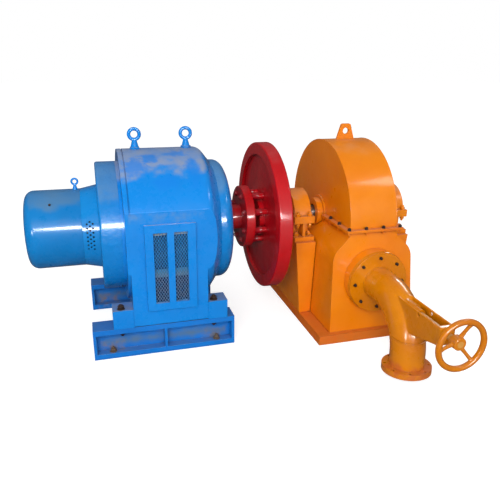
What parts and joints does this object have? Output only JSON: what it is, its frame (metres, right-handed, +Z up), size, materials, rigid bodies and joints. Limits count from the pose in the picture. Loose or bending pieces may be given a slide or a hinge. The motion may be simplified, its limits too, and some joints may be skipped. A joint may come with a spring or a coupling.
{
  "type": "pelton turbine generating set",
  "caption": "Horizontal-shaft pelton turbine with a nozzle pipe and needle handwheel, coupled through a flywheel and pin coupling to a generator on slide rails.",
  "frame": {"origin": "on the floor, at the underside of the turbine base frame, straight below the middle of the bearing between flywheel and casing", "axes": "+X along the shaft from the generator to the turbine's far bearing, +Z up, -Y the way the nozzle pipe and handwheel point"},
  "size_m": [2.566, 2.079, 1.329],
  "materials": {
    "generator_paint": "gloss enamel, dusty on top",
    "turbine_paint": "gloss enamel",
    "handwheel_paint": "gloss enamel",
    "bearing_paint": "enamel over castings",
    "flywheel_paint": "gloss enamel over castings",
    "shaft_steel": "turned steel",
    "runner_steel": "cast stainless, ground",
    "screen_metal": "dusty expanded metal"
  },
  "bodies": {
    "frame": {"base_frame": "turbine_paint", "pedestal_left": "turbine_paint", "pedestal_right": "turbine_paint", "bearing_base_left": "bearing_paint", "bearing_base_right": "bearing_paint", "bearing_cap_left": "bearing_paint", "bearing_cap_right": "bearing_paint", "shaft_seal_left": "turbine_paint", "shaft_seal_right": "turbine_paint", "casing_lower": "turbine_paint", "casing_hood": "turbine_paint", "split_flange_lower": "turbine_paint", "split_flange_upper": "turbine_paint", "lifting_lug": "turbine_paint", "nozzle_pad": "turbine_paint", "nozzle_flange": "turbine_paint", "nozzle_pipe": "turbine_paint", "nozzle_tip": "turbine_paint", "inlet_flange": "turbine_paint", "gland": "turbine_paint", "spindle_yoke": "turbine_paint", "stator_housing": "generator_paint", "generator_feet": "generator_paint", "end_bell_left": "generator_paint", "end_bell_right": "generator_paint", "exciter_ring": "generator_paint", "exciter_cover": "generator_paint", "screen_panel_front": "generator_paint", "screen_panel_rear": "generator_paint", "air_screens": "screen_metal", "lifting_eyes": "generator_paint", "rail_front": "generator_paint", "rail_rear": "generator_paint"},
    "rotor": {"generator_shaft": "shaft_steel", "coupling_half": "flywheel_paint", "coupling_pins": "flywheel_paint", "flywheel": "flywheel_paint", "turbine_shaft": "shaft_steel", "runner_disc": "runner_steel", "runner_buckets": "runner_steel"},
    "handwheel": {"spindle": "shaft_steel", "handwheel": "handwheel_paint"}
  },
  "joints": [
    {"name": "rotor_spin", "type": "hinge", "parent": "frame", "child": "rotor", "pos_m": [0, 0, 0.719], "axis": [1, 0, 0], "continuous": true},
    {"name": "handwheel_turn", "type": "hinge", "parent": "frame", "child": "handwheel", "pos_m": [0.35, -1.455, 0.402], "axis": [0, -1, 0], "range_deg": [0, 3600]}
  ]
}
